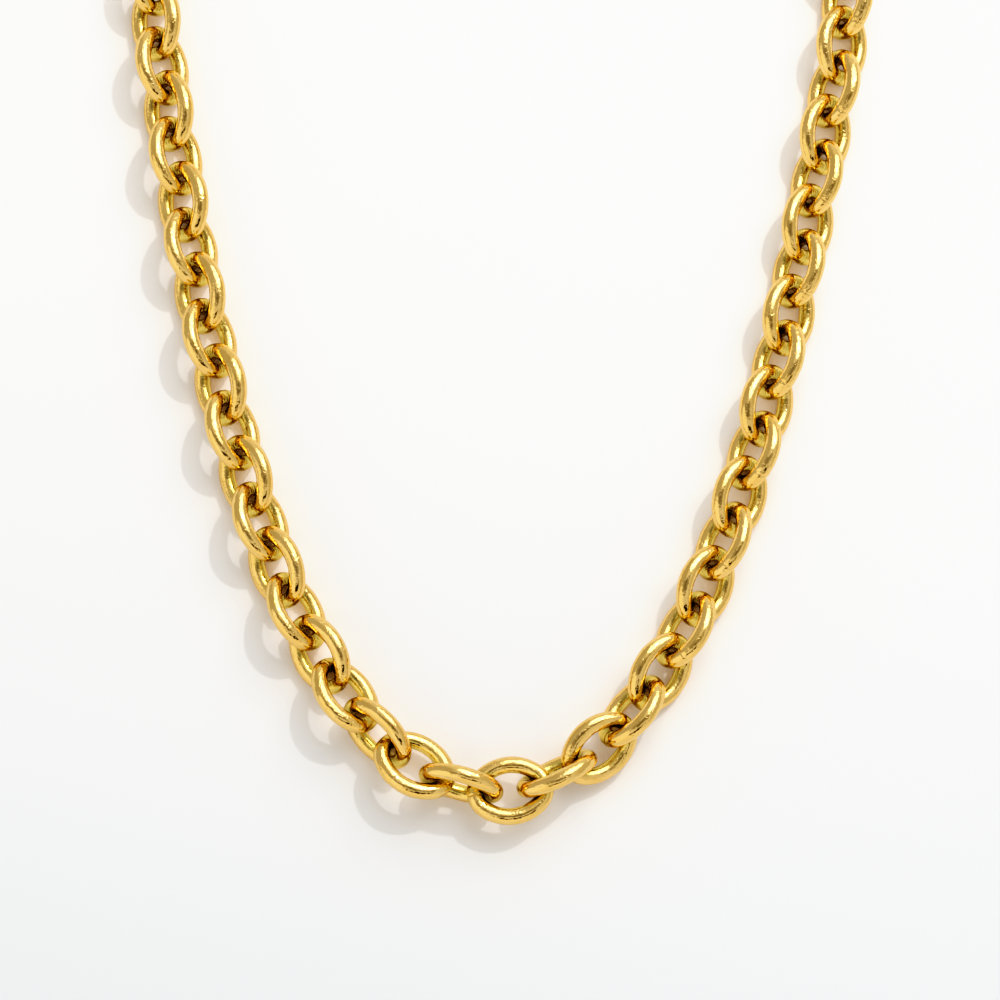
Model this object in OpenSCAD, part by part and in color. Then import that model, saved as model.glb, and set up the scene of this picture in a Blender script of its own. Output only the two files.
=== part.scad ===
// Chain choker lying on a table: one closed loop of oval cable links with a plain clasp at its back.
// x runs to the right, y runs away from the viewer, z is up and the table is at z = 0.
// Every link is turned a quarter turn from its neighbours and passes through them.
// All sizes are in millimetres and all angles in degrees.

/* [Links] */
// outside length of a link
link_l = 11.5; // [9:0.1:14]
// outside width of a link
link_w = 9; // [7:0.1:11]
// thickness of the round wire
wire_d = 2.2; // [1.6:0.05:2.6]
// radius of the wire's middle line round the two ends of a link
end_r = 2.6; // [2.2:0.05:3]
// extra thickness of the two long sides of a link, which take up the ends
side_extra = 0.02; // [0.01:0.01:0.1]
// distance between the middles of neighbouring links
pitch = 6.56; // [6:0.01:7]

/* [Front curve] */
// number of links from the top of the left side to the top of the right side
front_n = 39; // [21:2:45]
// where the first front link lies to the left of the middle
first_x = -47.63; // [-70:0.01:-30]
// where the first front link lies beyond the middle
first_y = 25.88; // [0:0.01:60]

/* [Back curve] */
// links on each side between the front curve and the clasp
back_n = 11; // [6:1:16]
// how far the back curve goes beyond a half circle at each end
flare = 6; // [0:0.5:15]

/* [Clasp] */
// outside length of the clasp
clasp_l = 15; // [12:0.1:20]
// outside width of the clasp
clasp_w = 8.6; // [6:0.1:10]
// thickness of the clasp's rim
clasp_d = 2.3; // [2:0.05:3]
// length of the solid middle of the clasp
clasp_mid = 4; // [2:0.1:6]
// height of the clasp's middle above the table
clasp_z = 4.3; // [2:0.05:6]

/* [Hidden] */
$fn = 48;

// columns: step number, heading of the step from one link to the next
course = [
    [0, -82], [5, -79.5], [9, -75], [12, -70], [14, -61.5], [15, -57.5], [16, -50],
    [17, -41], [18, -21.5], [19, -8], [20, 20.5], [21, 31.5], [22, 48.5], [23, 54],
    [25, 65], [28, 72.5], [32, 77.5], [37, 79], [39, 86]
];

// columns: link number, lean of the chain about its own run
lean = [
    [-11, -90], [-7, -46], [14, -46], [16, -32], [18, -13], [19, 0], [20, 20],
    [21, 34], [23, 40], [44, 40], [45, 45], [46, 52], [47, 62], [48, 78], [49, 90]
];

// columns: link number, height of a flat link that rests on the wires of its neighbours
perch = [
    [-10, 4.3], [-8, 3.7], [15, 3.9], [17, 4.4], [19, 4.3], [21, 3.8], [46, 3.9], [48, 4.3]
];

// half length and half width of the oval that the wire's middle line follows
half_l = (link_l - wire_d) / 2;
half_w = (link_w - wire_d) / 2;
// centres and radius of the oval's end and side arcs
end_c = half_l - end_r;
side_r = (pow(end_c, 2) + pow(half_w, 2) - pow(end_r, 2)) / (2 * (half_w - end_r));
side_c = side_r - half_w;
// half of the angle that each side arc sweeps
side_a = atan2(end_c, side_c);
// thickness of the wire along the sides
side_d = wire_d + side_extra;

last = front_n - 1;

function heading(j) = lookup(j, course);
function walk(j) = j == 0
    ? [first_x, first_y]
    : walk(j - 1) + pitch * [cos(heading(j)), sin(heading(j))];

// the back curve is an arc of a circle through the first and the last front link
head = walk(0);
tail = walk(last);
chord = head - tail;
back_r = norm(chord) / 2 / cos(flare);
hub = (head + tail) / 2 + back_r * sin(flare) * [chord[1], -chord[0]] / norm(chord);
step = 2 * asin(pitch / 2 / back_r);
tail_a = atan2(tail[1] - hub[1], tail[0] - hub[0]);
head_a = atan2(head[1] - hub[1], head[0] - hub[0]) + 360;

// angle round the hub at which back link j lies
function back_a(j) = j < 0 ? head_a + j * step : tail_a + (j - last) * step;
function place(j) = j < 0 || j > last
    ? hub + back_r * [cos(back_a(j)), sin(back_a(j))]
    : walk(j);
function turn(j) = j < 0 || j > last
    ? back_a(j) + 90
    : (heading(j) + heading(j + 1)) / 2;
// every other link stands a quarter turn further round
function roll(j) = lookup(j, lean) + (j % 2 == 0 ? 90 : 0);
// a link rests on the table by its lower side, or is perched on its neighbours
function perched(j) = max([for (p = perch) p[0] == j ? p[1] : 0]);
function height(j) = max(side_d / 2 + half_w * abs(sin(roll(j))), perched(j));

// one bent stretch of round wire, half of it on each side of the x axis
module bow(r, half, d) {
    rotate([0, 0, -half])
        rotate_extrude(angle = 2 * half)
            translate([r, 0])
                circle(d = d);
}

// an oval link lying flat, long way along x; its end bows run on into the thicker side bows
module link() {
    for (s = [0, 180])
        rotate([0, 0, s])
            translate([end_c, 0, 0])
                bow(end_r, 92 - side_a, wire_d);
    for (s = [90, 270])
        rotate([0, 0, s])
            translate([-side_c, 0, 0])
                bow(side_r, side_a, side_d);
}

// the whole chain: links run from beside the clasp, down the left, through the front and back up
module chain() {
    color("goldenrod")
        for (j = [-back_n : last + back_n])
            translate([place(j)[0], place(j)[1], height(j)])
                rotate([0, 0, turn(j)])
                    rotate([roll(j), 0, 0])
                        link();
}

// the clasp: a rim with a solid middle and an opening at each end for the end links
module clasp() {
    rim_r = (clasp_w - clasp_d) / 2;
    rim_c = (clasp_l - clasp_d) / 2 - rim_r;
    mid_a = (head_a + tail_a) / 2;
    color("goldenrod")
        translate([hub[0] + back_r * cos(mid_a), hub[1] + back_r * sin(mid_a), clasp_z])
            rotate([0, 0, mid_a + 90]) {
                for (s = [0, 180])
                    rotate([0, 0, s])
                        translate([rim_c, 0, 0])
                            bow(rim_r, 92, clasp_d);
                for (s = [-1, 1])
                    translate([0, s * rim_r, 0])
                        rotate([0, 90, 0])
                            cylinder(d = clasp_d + side_extra, h = 2 * rim_c, center = true);
                cube([clasp_mid, clasp_w - clasp_d, clasp_d * 0.8], center = true);
            }
}

chain();
clasp();
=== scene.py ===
import math

import bmesh
import bpy
import numpy as np
from mathutils import Matrix, Vector, kdtree


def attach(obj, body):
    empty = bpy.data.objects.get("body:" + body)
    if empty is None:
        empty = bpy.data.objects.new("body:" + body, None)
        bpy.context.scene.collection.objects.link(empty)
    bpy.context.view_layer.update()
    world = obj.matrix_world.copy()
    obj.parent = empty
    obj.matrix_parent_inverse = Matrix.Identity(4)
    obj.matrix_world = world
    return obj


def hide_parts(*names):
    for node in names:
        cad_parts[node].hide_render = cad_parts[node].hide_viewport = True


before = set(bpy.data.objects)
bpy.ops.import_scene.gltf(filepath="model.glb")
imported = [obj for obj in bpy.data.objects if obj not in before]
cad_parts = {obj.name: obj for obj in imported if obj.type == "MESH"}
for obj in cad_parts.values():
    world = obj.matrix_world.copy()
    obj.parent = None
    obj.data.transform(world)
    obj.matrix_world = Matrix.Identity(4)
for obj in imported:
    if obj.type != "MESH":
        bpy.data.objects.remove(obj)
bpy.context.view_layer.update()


# Links. The chain is 61 alike ovals of round brass wire, each bent round a mandrel, threaded through
# the last one, butted shut and welded, then tumbled and gold plated. They only hang in each other. On
# the table every link leans over onto its lower side or lies on the wires of its two neighbours.

# sizes in millimetres, angles in degrees
mm = 0.001
wire = 2.2
side_extra = 0.02
link_long = 11.5
link_wide = 9.0
end_bow = 2.6
pitch = 6.56
first_link = (-47.63, 25.88)
shown_links = 39
# links on each side between the shown ones and the clasp
hidden_links = 11
# how far the back curve goes past a half circle at each end
flare = 6

# step number, heading of the step from one link to the next
course = [
    (0, -82), (5, -79.5), (9, -75), (12, -70), (14, -61.5), (15, -57.5), (16, -50),
    (17, -41), (18, -21.5), (19, -8), (20, 20.5), (21, 31.5), (22, 48.5), (23, 54),
    (25, 65), (28, 72.5), (32, 77.5), (37, 79), (39, 86),
]

# link number, lean of the chain about its own run
lean = [
    (-11, -90), (-7, -46), (14, -46), (16, -32), (18, -13), (19, 0), (20, 20),
    (21, 34), (23, 40), (44, 40), (45, 45), (46, 52), (47, 62), (48, 78), (49, 90),
]

# link number, height of a flat link that rests on the wires of its neighbours
perch = {-10: 4.3, -8: 3.7, 15: 3.9, 17: 4.4, 19: 4.3, 21: 3.8, 46: 3.9, 48: 4.3}

# the oval that the wire's middle line follows: two end bows and two flatter side bows
half_long = (link_long - wire) / 2
half_wide = (link_wide - wire) / 2
end_mid = half_long - end_bow
side_bow = (end_mid ** 2 + half_wide ** 2 - end_bow ** 2) / (2 * (half_wide - end_bow))
side_mid = side_bow - half_wide
side_half = math.atan2(end_mid, side_mid)
end_half = math.pi / 2 - side_half


def read_off(rows, number):
    return float(np.interp(number, [r[0] for r in rows], [r[1] for r in rows]))


def walk_front():
    spots = [np.array(first_link)]
    for j in range(1, shown_links):
        way = math.radians(read_off(course, j))
        spots.append(spots[-1] + pitch * np.array([math.cos(way), math.sin(way)]))
    return spots


# the hidden links and the clasp close the loop on one arc behind the shown ones
front = walk_front()
head, tail = front[0], front[-1]
chord = head - tail
back_bow = np.linalg.norm(chord) / 2 / math.cos(math.radians(flare))
hub = ((head + tail) / 2 + back_bow * math.sin(math.radians(flare))
       * np.array([chord[1], -chord[0]]) / np.linalg.norm(chord))
back_step = 2 * math.degrees(math.asin(pitch / 2 / back_bow))
tail_round = math.degrees(math.atan2(*(tail - hub)[::-1]))
head_round = math.degrees(math.atan2(*(head - hub)[::-1])) + 360


def settle(j):
    """Where link j lies: its middle, its turn on the table and its roll about its own run."""
    last = shown_links - 1
    if j < 0 or j > last:
        round_hub = head_round + j * back_step if j < 0 else tail_round + (j - last) * back_step
        a = math.radians(round_hub)
        x, y = hub + back_bow * np.array([math.cos(a), math.sin(a)])
        turn = round_hub + 90
    else:
        x, y = front[j]
        turn = (read_off(course, j) + read_off(course, j + 1)) / 2
    roll = read_off(lean, j) + (90 if j % 2 == 0 else 0)
    low_side = (wire + side_extra) / 2 + half_wide * abs(math.sin(math.radians(roll)))
    z = max(low_side, perch.get(j, 0))
    return (Matrix.Translation((x, y, z)) @ Matrix.Rotation(math.radians(turn), 4, "Z")
            @ Matrix.Rotation(math.radians(roll), 4, "X"))


def along_oval(s):
    """Point and outward direction on the wire's middle line, s mm on from the middle of one end."""
    # radius, half of the angle it sweeps, its middle across and along, and the way it faces
    bows = [
        (end_bow, end_half, end_mid, 0, 0), (side_bow, side_half, 0, -side_mid, 90),
        (end_bow, end_half, -end_mid, 0, 180), (side_bow, side_half, 0, side_mid, 270),
    ]
    whole = sum(2 * r * half for r, half, *_ in bows)
    s = np.mod(s + end_bow * end_half, whole)
    point, out = np.zeros((len(s), 3)), np.zeros((len(s), 3))
    start = 0.0
    for r, half, cx, cy, facing in bows:
        here = (s >= start) & (s <= start + 2 * r * half)
        a = math.radians(facing) - half + (s[here] - start) / r
        out[here, 0], out[here, 1] = np.cos(a), np.sin(a)
        point[here, 0], point[here, 1] = cx + r * np.cos(a), cy + r * np.sin(a)
        start += 2 * r * half
    return point, out, whole


oval_round = along_oval(np.zeros(1))[2]
# distances of the closer mesh rings from the weld, and the number of rings round the rest of the oval
weld_rings = [0.02, 0.08, 0.15, 0.23, 0.32, 0.43, 0.56, 0.72, 0.92, 1.16]
plain_rings = 108
ring_sides = 40


def tube_faces(rings):
    """The corners of each face of a closed tube with this many rings."""
    a, b = np.meshgrid(np.arange(rings), np.arange(ring_sides), indexing="ij")
    a2, b2 = (a + 1) % rings, (b + 1) % ring_sides
    corners = [a * ring_sides + b, a2 * ring_sides + b, a2 * ring_sides + b2, a * ring_sides + b2]
    return np.stack(corners, -1).reshape(-1, 4)


# link number, where its weld sits as a share of the way round from the middle of its first end, and
# how rough the weld was left
welds = {
    17: (0.70, 0.35), 19: (0.508, 0.7), 21: (0.40, 0.3), 22: (0.485, 1.0), 23: (0.508, 0.4),
    24: (0.39, 0.35), 25: (0.508, 0.3), 26: (0.385, 0.4), 27: (0.508, 0.6), 28: (0.378, 0.9),
    30: (0.385, 0.5), 31: (0.508, 0.6), 32: (0.392, 1.0), 34: (0.385, 0.4), 35: (0.508, 0.5),
    36: (0.388, 0.9), 38: (0.39, 0.5),
}
# the welds of all other links are smooth and hidden where they nest
nested_weld, nested_stray, nested_rough = 0.505, 0.006, 0.25

# the wire is never quite even: number of waves round the link, their height, and how much lower a
# wave is for each time that it also goes round the wire
swell_waves = [
    (1, 0.010), (2, 0.008), (3, 0.007), (5, 0.005), (8, 0.004), (12, 0.0028), (17, 0.002),
]
swell_fade = 0.6
# a weld stands a little proud and lumpy, and its two ends meet in a fine wandering seam
weld_proud, weld_lumpy, weld_reach, weld_lumps = 0.012, 0.030, 0.75, 14
lumps_along, lumps_round = (3, 13), (2, 8)
seam_least, seam_rough, seam_wide = 0.02, 0.05, 0.08
seam_wander, seam_kink = 0.05, 0.03
wire_lowest, wire_highest = -0.075, 0.05

# how far the weld's duller metal and the mandrel's marks at each end reach, and how dull the
# smoothest weld is
dull_reach, mandrel_reach, dull_least = 0.6, 2.2, 0.4
# the front of the chain is rubbed brighter than its sides, most of all at link 19
front_link, rub_spread, least_rubbed = 19, 7, 0.3
link_seed = 700
full_turn = 6.28
# how far on along the grain each link's wire starts
grain_apart = 40.0


def bend_link(j):
    """One link in its own frame: its points, the way each faces, its marks and its faces' corners."""
    rng = np.random.default_rng(link_seed + j)
    share, rough = welds.get(j, (nested_weld + rng.normal(0, nested_stray), nested_rough))
    weld_at = share * oval_round
    near = np.array(weld_rings)
    far = np.linspace(near[-1], oval_round - near[-1], plain_rings)[1:-1]
    s = np.concatenate([near, far, oval_round - near[::-1]])
    phi = np.arange(ring_sides) * 2 * math.pi / ring_sides
    middle, out, _ = along_oval(s + weld_at)
    S, P = np.meshgrid(s, phi, indexing="ij")

    swell = np.zeros_like(S)
    for waves, height in swell_waves:
        for bends in (0, 1, 2, 3):
            swell += height * rng.normal() / (1 + swell_fade * bends) * np.cos(
                2 * math.pi * waves * S / oval_round + bends * P + rng.uniform(0, full_turn))
    off = np.minimum(S, oval_round - S)
    signed = np.where(S < oval_round / 2, S, S - oval_round)
    lump = np.zeros_like(S)
    for _ in range(weld_lumps):
        lump += rng.normal() * np.cos(
            rng.uniform(*lumps_along) * signed + rng.integers(*lumps_round) * P
            + rng.uniform(0, full_turn)) / 3
    swell += rough * (weld_proud + weld_lumpy * lump) * np.exp(-(off / weld_reach) ** 2)
    seam = (seam_wander * np.cos(P + rng.uniform(0, full_turn))
            + seam_kink * np.cos(2 * P + rng.uniform(0, full_turn)))
    swell -= (seam_least + seam_rough * rough) * np.exp(-((signed - seam) / seam_wide) ** 2)

    radius = wire / 2 + np.clip(swell, wire_lowest, wire_highest)
    up = np.array([0, 0, 1.0])
    facing = np.cos(P)[..., None] * out[:, None] + np.sin(P)[..., None] * up
    points = (middle[:, None] + radius[..., None] * facing).reshape(-1, 3)
    straight = [S + grain_apart * (j + hidden_links + 1), radius * np.cos(P), radius * np.sin(P)]
    from_end = np.mod(S + weld_at, oval_round / 2)
    to_end = np.minimum(from_end, oval_round / 2 - from_end)
    rubbed = least_rubbed + (1 - least_rubbed) * math.exp(-((j - front_link) / rub_spread) ** 2)
    marks = {
        "straight_wire": np.stack(straight, -1).reshape(-1, 3),
        "weld": ((dull_least + (1 - dull_least) * rough) * np.exp(-(off / dull_reach) ** 2)).ravel(),
        "bent": np.exp(-(to_end / mandrel_reach) ** 2).ravel(),
        "rubbed": np.full(S.size, rubbed),
    }
    return points, facing.reshape(-1, 3), marks, tube_faces(len(s))


def nodes_of(material):
    tree = material.node_tree
    tree.nodes.clear()
    return tree, tree.nodes.new


def feed(tree, value, socket):
    """Joins the socket to another one, or gives it a fixed value."""
    if isinstance(value, bpy.types.NodeSocket):
        tree.links.new(value, socket)
    else:
        socket.default_value = value


def blend(tree, kind, factor, one, two):
    """A mix of two colours (RGBA) or of two numbers (FLOAT)."""
    node = tree.nodes.new("ShaderNodeMix")
    node.data_type = kind
    for value, socket in zip((factor, one, two), [s for s in node.inputs if s.enabled]):
        feed(tree, value, socket)
    return next(s for s in node.outputs if s.enabled)


def marked(tree, key):
    """What mark_points wrote on the mesh under this name."""
    node = tree.nodes.new("ShaderNodeAttribute")
    node.attribute_name = key
    return node.outputs["Vector" if key == "straight_wire" else "Fac"]


bright_gold = (0.90, 0.592, 0.212, 1)
warm_gold = (0.85, 0.54, 0.172, 1)
# the gold darkened by painted shade where the wires nest, and darker still deep in a nest
nest_shaded_gold = (0.78, 0.56, 0.15, 1)
painted_nest_shade = (0.32, 0.235, 0.05, 1)
grazing_gold = (0.98, 0.90, 0.72, 1)
# roughness of the plate where it is smoothest and dullest, deep in a nest and at a weld
polish_best, polish_worst, polish_deep, polish_weld = 0.08, 0.14, 0.20, 0.22
# heights of the marks in the plate, mm
drawn_line, fine_line, mandrel_line = 0.012, 0.008, 0.003
tumbled, fine_tumbled, pit = 0.036, 0.014, 0.012
# how much of the roughness and of the tumbled grain is left where the plate is rubbed most
rubbed_rough, rubbed_tumbled = 0.6, 0.44
# how close the mandrel's marks lie along the wire, and how much they wander
ripple_close, ripple_wander = 13.0, 14.0


def gold_plate(name):
    """Polished gold plate on drawn and tumbled wire: fine lines along the wire, a soft grain, rougher
    welds, and painted shade, browner and darker, where the links nest in each other."""
    material = bpy.data.materials.new(name)
    material.use_nodes = True
    tree, new = nodes_of(material)
    link = tree.links.new
    shader, out = new("ShaderNodeBsdfPrincipled"), new("ShaderNodeOutputMaterial")
    shader.inputs["Metallic"].default_value = 1.0
    shader.inputs["Specular Tint"].default_value = grazing_gold
    link(shader.outputs[0], out.inputs["Surface"])
    straight, nest, weld, bent, rubbed = (
        marked(tree, key) for key in ("straight_wire", "nest", "weld", "bent", "rubbed"))

    def grain(stretch, scale, detail):
        place = new("ShaderNodeMapping")
        place.inputs["Scale"].default_value = stretch
        link(straight, place.inputs["Vector"])
        noise = new("ShaderNodeTexNoise")
        noise.inputs["Scale"].default_value = scale
        noise.inputs["Detail"].default_value = detail
        link(place.outputs[0], noise.inputs["Vector"])
        return noise.outputs["Fac"]

    def ramp(value, low, high, to_low=0.0, to_high=1.0):
        node = new("ShaderNodeMapRange")
        ends = {"From Min": low, "From Max": high, "To Min": to_low, "To Max": to_high}
        for key, number in ends.items():
            node.inputs[key].default_value = number
        link(value, node.inputs["Value"])
        return node.outputs[0]

    def maths(kind, *values):
        node = new("ShaderNodeMath")
        node.operation = kind
        for value, socket in zip(values, node.inputs):
            feed(tree, value, socket)
        return node.outputs[0]

    def bump(height, tall, under=None, share=None):
        node = new("ShaderNodeBump")
        node.inputs["Distance"].default_value = tall * mm
        link(height, node.inputs["Height"])
        if share:
            link(share, node.inputs["Strength"])
        if under:
            link(under, node.inputs["Normal"])
        return node.outputs[0]

    # colour: clouds of two golds, with painted shade where the wires shelter each other, browner and
    # then darker deep in a nest
    cloud = grain((0.5, 1, 1), 0.9, 2)
    colour = blend(tree, "RGBA", ramp(cloud, 0.35, 0.65), bright_gold, warm_gold)
    colour = blend(tree, "RGBA", ramp(nest, 0.25, 0.55), colour, nest_shaded_gold)
    deep = ramp(nest, 0.55, 0.96)
    colour = blend(tree, "RGBA", deep, colour, painted_nest_shade)
    link(colour, shader.inputs["Base Color"])

    # polish: a soft grain from the tumbling, smoother where it is rubbed
    tumble = grain((0.8, 1, 1), 2.3, 1.5)
    rough = ramp(tumble, 0.3, 0.7, polish_best, polish_worst)
    rough = maths("MULTIPLY", rough, ramp(rubbed, least_rubbed, 1.0, 1.0, rubbed_rough))
    rough = blend(tree, "FLOAT", deep, rough, polish_deep)
    rough = blend(tree, "FLOAT", weld, rough, polish_weld)
    link(rough, shader.inputs["Roughness"])

    # marks in the plate: the mandrel's ripple, lines along the wire, tumbled grain and small pits
    split = new("ShaderNodeSeparateXYZ")
    link(straight, split.inputs[0])
    along = maths("MULTIPLY", split.outputs["X"], ripple_close)
    wander = maths("MULTIPLY", grain((0.6, 0.6, 0.6), 1.0, 1), ripple_wander)
    along = maths("ADD", along, wander)
    ripple = maths("MULTIPLY", maths("SINE", along), bent)
    skin = bump(grain((0.10, 1, 1), 3.4, 1), drawn_line)
    skin = bump(grain((0.18, 1, 1), 5.0, 0), fine_line, skin, rubbed)
    skin = bump(tumble, tumbled, skin, ramp(rubbed, least_rubbed, 1.0, 1.0, rubbed_tumbled))
    skin = bump(grain((0.8, 1, 1), 4.4, 0), fine_tumbled, skin)
    skin = bump(ripple, mandrel_line, skin)
    pits = ramp(grain((1, 1, 1), 2.6, 0), 0.66, 0.74, 1.0, 0.0)
    skin = bump(pits, pit, skin)
    link(skin, shader.inputs["Normal"])
    return material


chain_gold = gold_plate("chain_gold")
places = {j: settle(j) for j in range(-hidden_links, shown_links + hidden_links)}
oval_spots = 90
oval_line = along_oval(np.linspace(0, oval_round, oval_spots, endpoint=False))[0]
oval_step = oval_round / oval_spots


def lay(matrix, points):
    m = np.array(matrix)
    return points @ m[:3, :3].T + m[:3, 3]


def turn_with(matrix, facing):
    return (facing @ np.array(matrix)[:3, :3].T).astype(np.float32)


def shelter(neighbours, points, facing):
    """How much of what each point could see is taken up by the wires of these links, 0 to 1."""
    hidden = np.zeros(len(points), np.float32)
    for k in neighbours:
        if k in places:
            for spot in lay(places[k], oval_line):
                way = (spot - points).astype(np.float32)
                far = np.maximum(np.einsum("ij,ij->i", way, way), (wire / 2) ** 2)
                up = np.maximum(np.einsum("ij,ij->i", way, facing), 0)
                hidden += wire * oval_step * up / (math.pi * far ** 1.5)
    return np.minimum(hidden, 1)


def mark_points(mesh, marks):
    for key, values in marks.items():
        single = values.ndim == 1
        mark = mesh.attributes.new(key, "FLOAT" if single else "FLOAT_VECTOR", "POINT")
        flat = values.astype(np.float32).ravel()
        mark.data.foreach_set("value" if single else "vector", flat)


def smooth(mesh):
    mesh.polygons.foreach_set("use_smooth", np.ones(len(mesh.polygons), bool))


def join_links(name, numbers):
    """These links as one piece, each where it lies in the chain."""
    points, marks, faces = [], [], []
    count = 0
    for j in numbers:
        own, facing, own_marks, own_faces = bend_link(j)
        own = lay(places[j], own)
        facing = turn_with(places[j], facing)
        own_marks["nest"] = shelter((j - 2, j - 1, j + 1, j + 2), own, facing)
        points.append(own)
        marks.append(own_marks)
        faces.append(own_faces + count)
        count += len(own)

    mesh = bpy.data.meshes.new(name)
    mesh.from_pydata((np.concatenate(points) * mm).tolist(), [], np.concatenate(faces).tolist())
    mark_points(mesh, {key: np.concatenate([m[key] for m in marks]) for key in marks[0]})
    smooth(mesh)
    mesh.materials.append(chain_gold)
    mesh.update()
    piece = bpy.data.objects.new(name, mesh)
    bpy.context.scene.collection.objects.link(piece)
    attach(piece, "root")
    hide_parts("chain")


# name of each piece, its first link and the link after its last one
stretches = (
    ("links_back_left", -11, 0), ("links_left", 0, 15), ("links_front", 15, 24),
    ("links_right", 24, 39), ("links_back_right", 39, 50),
)
for name, first, after in stretches:
    join_links(name, range(first, after))


# Clasp. A plain brass piece in the same gold plate, between the two end links: an oval rim of round
# bar with a solid web across its middle, so that each end link has an eye of its own.

clasp_long = 15.0
clasp_wide = 8.6
bar = 2.3
web_long = 4.0
web_thick = 1.84
web_round = 0.35
clasp_high = 4.3
bow = (clasp_wide - bar) / 2
bow_mid = (clasp_long - bar) / 2 - bow
clasp_round = math.radians((head_round + tail_round) / 2)
clasp_spot = hub + back_bow * np.array([math.cos(clasp_round), math.sin(clasp_round)])
clasp_place = (Matrix.Translation((*clasp_spot, clasp_high))
               @ Matrix.Rotation(clasp_round + math.pi / 2, 4, "Z"))
rim_seed = 790
rim_swell = 0.006
bow_rings, side_rings = 49, 30
# how far on along the grain the clasp's plate starts, clear of every link's
clasp_grain = 2600
# edges sharper than this many degrees stay sharp
crease = 35


def bend_rim():
    """The rim in the clasp's own frame: two half circles joined by two straight sides."""
    turns = np.linspace(-math.pi / 2, math.pi / 2, bow_rings)
    bow_end = np.stack([bow_mid + bow * np.cos(turns), bow * np.sin(turns)], -1)
    side = np.linspace(1, -1, side_rings)[1:-1] * bow_mid
    straight_side = np.stack([side, np.full_like(side, bow)], -1)
    line = np.concatenate([bow_end, straight_side, -bow_end, -straight_side])
    ahead = np.roll(line, -1, 0) - np.roll(line, 1, 0)
    out = np.stack([ahead[:, 1], -ahead[:, 0]], -1) / np.linalg.norm(ahead, axis=1)[:, None]
    phi = np.arange(ring_sides) * 2 * math.pi / ring_sides
    way = np.linspace(0, 2 * math.pi, len(line))[:, None]
    rng = np.random.default_rng(rim_seed)
    wave = sum(rim_swell * rng.normal() * np.cos(k * way + phi * m)
               for k in (2, 3, 5, 9) for m in (0, 1, 2))
    radius = bar / 2 + wave
    across, along = (line[:, [i]] + radius * np.cos(phi) * out[:, [i]] for i in (0, 1))
    points = np.stack([across, along, radius * np.sin(phi)], -1).reshape(-1, 3)
    return points, tube_faces(len(line))[:, ::-1]


rim_points, rim_faces = bend_rim()
rim_mesh = bpy.data.meshes.new("clasp")
rim_mesh.from_pydata(rim_points.tolist(), [], rim_faces.tolist())
shape = bmesh.new()
bmesh.ops.create_cube(
    shape, size=1, matrix=Matrix.Diagonal((web_long, clasp_wide - bar, web_thick, 1)))
long_edges = [e for e in shape.edges if abs(e.verts[0].co.y - e.verts[1].co.y) > 1]
bmesh.ops.bevel(
    shape, geom=long_edges, offset=web_round, segments=4, profile=0.5, affect="EDGES")
web_mesh = bpy.data.meshes.new("web")
shape.to_mesh(web_mesh)
shape.free()

clasp = bpy.data.objects.new("clasp_body", rim_mesh)
web = bpy.data.objects.new("web", web_mesh)
for part in (clasp, web):
    bpy.context.scene.collection.objects.link(part)
weld_on = clasp.modifiers.new("web", "BOOLEAN")
weld_on.operation = "UNION"
weld_on.object = web
bpy.context.view_layer.update()
welded = clasp.evaluated_get(bpy.context.evaluated_depsgraph_get())
clasp_mesh = bpy.data.meshes.new_from_object(welded)
clasp.modifiers.clear()
clasp.data = clasp_mesh
bpy.data.objects.remove(web)

points = np.array([v.co for v in clasp_mesh.vertices])
facing = turn_with(clasp_place, np.array([v.normal for v in clasp_mesh.vertices], np.float32))
end_links = (-hidden_links, shown_links + hidden_links - 1)
plain = np.zeros(len(points))
mark_points(clasp_mesh, {
    "straight_wire": points + [clasp_grain, 0, 0],
    "nest": shelter(end_links, lay(clasp_place, points), facing),
    "weld": plain,
    "bent": plain,
    "rubbed": plain + 1,
})
clasp_mesh.transform(Matrix.Scale(mm, 4) @ clasp_place)
smooth(clasp_mesh)
clasp_mesh.set_sharp_from_angle(angle=math.radians(crease))
clasp_gold = gold_plate("clasp_gold")
clasp_mesh.materials.clear()
clasp_mesh.materials.append(clasp_gold)
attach(clasp, "root")
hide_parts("clasp")


# Table. A smooth white painted board that the chain lies on. Its grid is fine under the chain, where
# the board is marked with the light that the gold throws on it and keeps from it.

# half widths of the board and of its middle part in metres, then half width, step and shift toward
# the front of the fine grid in millimetres
table_half, middle_half = 3.0, 0.4
fine_half, fine_step, fine_front = 100, 0.5, 10
fine = np.arange(-fine_half, fine_half + 0.1, fine_step) * mm
across = np.concatenate([[-table_half, -middle_half], fine, [middle_half, table_half]])
away = np.concatenate(
    [[-table_half, -middle_half], fine - fine_front * mm, [middle_half, table_half]])
X, Y = np.meshgrid(across, away, indexing="ij")
rows, columns = X.shape
a, b = np.meshgrid(np.arange(rows - 1), np.arange(columns - 1), indexing="ij")
corners = [a * columns + b, (a + 1) * columns + b, (a + 1) * columns + b + 1, a * columns + b + 1]
board = bpy.data.meshes.new("table")
board.from_pydata(np.stack([X, Y, 0 * X], -1).reshape(-1, 3).tolist(), [],
                  np.stack(corners, -1).reshape(-1, 4).tolist())
table = bpy.data.objects.new("table", board)
bpy.context.scene.collection.objects.link(table)


def close_to(spot, reach):
    return (np.abs(X - spot.x) < reach * mm) & (np.abs(Y - spot.y) < reach * mm)


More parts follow.
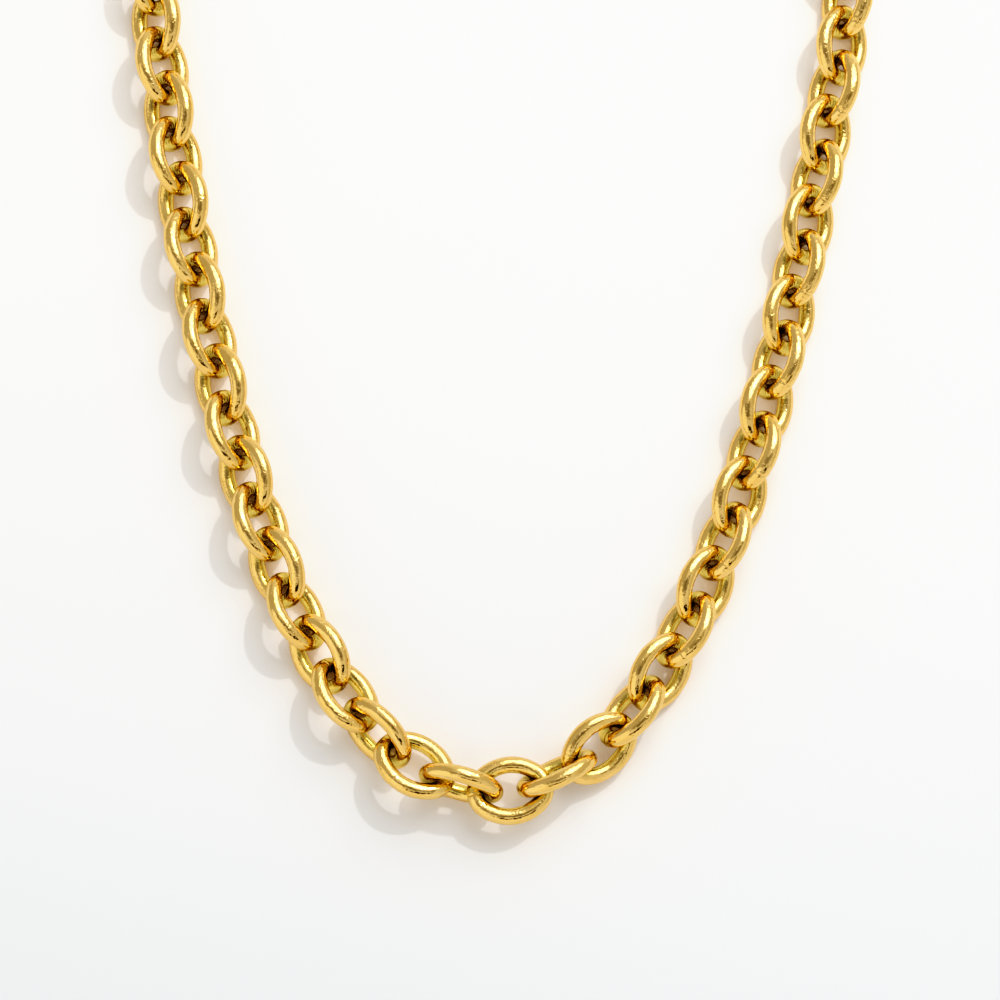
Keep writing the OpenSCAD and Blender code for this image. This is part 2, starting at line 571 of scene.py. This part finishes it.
# the wires round each shown hole throw some warm light down into it, and the open front links less;
# half length of the lit spot, half width under an upright link, how much wider it is under a flat one,
# and how far it lies toward the back
glow_long, glow_narrow, glow_wider, glow_back = 2.3, 1.3, 0.9, 0.5
front_links, front_glow = range(15, 24), 0.5
glow = np.zeros_like(X)
for j in range(shown_links):
    hole, run = places[j].translation * mm, places[j].col[0]
    open_wide = glow_narrow + glow_wider * (1 - places[j].col[1].z ** 2)
    close = close_to(hole, 6)
    x, y = (X[close] - hole.x) / mm, (Y[close] - hole.y) / mm - glow_back
    along, over = x * run.x + y * run.y, x * run.y - y * run.x
    spread = (along / glow_long) ** 2 + (over / open_wide) ** 2
    share = front_glow if j in front_links else 1.0
    glow[close] = np.maximum(glow[close], share * np.exp(-spread ** 2))

# almost no light gets down to the board right under where two shown links nest
shade_half, shade_back = 1.6, 0.4
shade = np.zeros_like(X)
for j in range(shown_links - 1):
    under = (places[j].translation + places[j + 1].translation) / 2 * mm
    close = close_to(under, 4)
    off = np.hypot(X[close] - under.x, Y[close] - under.y - shade_back * mm)
    shade[close] = np.maximum(shade[close], np.exp(-(off / (shade_half * mm)) ** 3))

# painted warm light that the gold throws on the board beside the wires, less with every millimetre
# away from them
painted_bounce_reach = 3.8
wires = kdtree.KDTree(len(oval_line) * len(places))
for k, spot in enumerate(np.concatenate([lay(place, oval_line) for place in places.values()])):
    wires.insert((spot[0], spot[1], 0), k)
wires.balance()
apart = np.array([wires.find((x, y, 0))[2] for x, y in zip((X / mm).ravel(), (Y / mm).ravel())])
painted_bounce = np.exp(-np.maximum(apart - wire / 2, 0) / painted_bounce_reach)

# painted shade: the board is a little darker and cooler toward the front, in metres
front_edge, front_deep = -0.115, 0.12
toward_back = np.clip((Y - front_edge) / front_deep, 0, 1)
mark_points(board, {
    "shade": shade.ravel(),
    "painted_bounce": painted_bounce,
    "glow": (glow * (1 - shade)).ravel(),
    "toward_back": toward_back.ravel(),
})

# the board's white with painted shade at the front, and plain toward the back
white_front_shaded = (0.80, 0.818, 0.845, 1)
white_back = (0.935, 0.935, 0.935, 1)
# the board's white warmed by painted light thrown from the gold
white_painted_bounce = (0.965, 0.925, 0.875, 1)
white_shaded = (0.27, 0.18, 0.07, 1)
warm_glow = (0.19, 0.115, 0.055, 1)
board_white = bpy.data.materials.new("board_white")
board_white.use_nodes = True
tree = board_white.node_tree
coat = tree.nodes["Principled BSDF"]
coat.inputs["Roughness"].default_value = 0.9
coat.inputs["Specular IOR Level"].default_value = 0
colour = white_front_shaded
for key, tone in (("toward_back", white_back), ("painted_bounce", white_painted_bounce), ("shade", white_shaded)):
    colour = blend(tree, "RGBA", marked(tree, key), colour, tone)
tree.links.new(colour, coat.inputs["Base Color"])
tree.links.new(marked(tree, "glow"), coat.inputs["Emission Strength"])
coat.inputs["Emission Color"].default_value = warm_glow
board.materials.append(board_white)


# Light. A small bare lamp near the upper right throws the sharp shadows, inside the glow of a large
# soft box. The rest is the room that the gold mirrors: pale walls with darker parts between them.

# places and sizes in metres, power in watts
key_spot, key_across, key_watts = Vector((0.25, 0.28, 0.52)), 0.024, 1.0
box_spot, box_across, box_watts = Vector((0.21, 0.31, 0.48)), 0.58, 1.9
chain_mid = Vector((0, -0.04, 0))


def hang_lamp(name, spot, across, watts):
    lamp = bpy.data.lights.new(name, "AREA")
    lamp.shape = "DISK"
    lamp.size = across
    lamp.energy = watts
    holder = bpy.data.objects.new(name, lamp)
    holder.location = spot
    holder.rotation_mode = "QUATERNION"
    holder.rotation_quaternion = (spot - chain_mid).to_track_quat("Z", "Y")
    bpy.context.scene.collection.objects.link(holder)


hang_lamp("key_lamp", key_spot, key_across, key_watts)
hang_lamp("soft_box", box_spot, box_across, box_watts)

# colour of each part of the room, its bearing and height above the horizon, and the angles from its
# middle at which it is whole and has gone
room_open = (0.80, 0.80, 0.80, 1)
room_parts = [
    ((1.05, 0.99, 0.88), -90, 0, 25, 60),
    ((0.85, 0.85, 0.85), 105, 15, 20, 45),
    ((0.53, 0.53, 0.53), 158, 25, 35, 58),
    ((0.62, 0.61, 0.57), 5, 5, 22, 45),
    ((1.20, 1.15, 1.02), -148, 30, 24, 36),
    ((0.34, 0.34, 0.34), -165, 68, 8, 16),
    ((0.34, 0.34, 0.34), -20, 66, 8, 16),
    ((0.22, 0.22, 0.22), -78, 79, 9, 17),
    ((0.03, 0.03, 0.03), -56, 46, 3, 8),
    ((0.03, 0.03, 0.03), -67, 45, 4, 9),
    ((0.02, 0.02, 0.02), -79, 45, 5, 10),
    ((0.03, 0.03, 0.03), -91, 45, 4, 9),
    ((0.03, 0.03, 0.03), -102, 46, 3, 8),
]
# what the camera itself sees beyond the table
room_plain = (0.92, 0.92, 0.92, 1)

room = bpy.data.worlds.new("room")
bpy.context.scene.world = room
room.use_nodes = True
tree, new = nodes_of(room)
toward = new("ShaderNodeTexCoord").outputs["Generated"]
walls = room_open
for tone, bearing, height, whole, gone in room_parts:
    e, b = math.radians(height), math.radians(bearing)
    middle = new("ShaderNodeVectorMath")
    middle.operation = "DOT_PRODUCT"
    tree.links.new(toward, middle.inputs[0])
    middle.inputs[1].default_value = (
        math.cos(e) * math.cos(b), math.cos(e) * math.sin(b), math.sin(e))
    edge = new("ShaderNodeMapRange")
    edge.interpolation_type = "SMOOTHSTEP"
    edge.inputs["From Min"].default_value = math.cos(math.radians(gone))
    edge.inputs["From Max"].default_value = math.cos(math.radians(whole))
    tree.links.new(middle.outputs["Value"], edge.inputs["Value"])
    walls = blend(tree, "RGBA", edge.outputs[0], walls, (*tone, 1))
seen = blend(tree, "RGBA", new("ShaderNodeLightPath").outputs["Is Camera Ray"], walls, room_plain)
backdrop = new("ShaderNodeBackground")
tree.links.new(seen, backdrop.inputs["Color"])
tree.links.new(backdrop.outputs[0], new("ShaderNodeOutputWorld").inputs["Surface"])

# how the camera records it: deeper shadows, true middle tones, then an ever gentler slope up to white
developing = bpy.context.scene.view_settings
developing.view_transform = "Standard"
developing.look = "None"
developing.use_curve_mapping = True
film = developing.curve_mapping
film_white = 4.0
film.white_level = (film_white,) * 3
film.extend = "HORIZONTAL"
# light on the film, tone that comes out
film_tones = [
    (0.025, 0.005), (0.05, 0.018), (0.075, 0.038), (0.1, 0.063), (0.15, 0.120), (0.2, 0.178),
    (0.4, 0.405), (0.6, 0.61), (0.8, 0.795), (0.9, 0.88), (1.0, 0.94), (1.15, 0.972),
    (1.5, 0.988), (2.2, 0.996),
]
for light, tone in film_tones:
    film.curves[3].points.new(light / film_white, tone)
film.update()


# Camera. It stands 46 cm off and looks almost straight down, a little from the front, through a long
# lens that takes in the front two thirds of the chain.

# how far off it is and the point it looks at in millimetres, then the ways back to it and to its right
camera_off = 459
aim = Vector((-0.16, -40.67, 0)) * mm
back = Vector((-0.01605, -0.20757, 0.97809)).normalized()
right = Vector((0.99987, 0, 0.0164))
right = (right - back * right.dot(back)).normalized()
up = back.cross(right)
eye = bpy.data.cameras.new("eye")
eye.sensor_width = 36
eye.lens = 122.4
eye.clip_start, eye.clip_end = 0.01, 20
camera = bpy.data.objects.new("eye", eye)
camera.matrix_world = (Matrix.Translation(aim + back * camera_off * mm)
                       @ Matrix((right, up, back)).transposed().to_4x4())
bpy.context.scene.collection.objects.link(camera)
bpy.context.scene.camera = camera
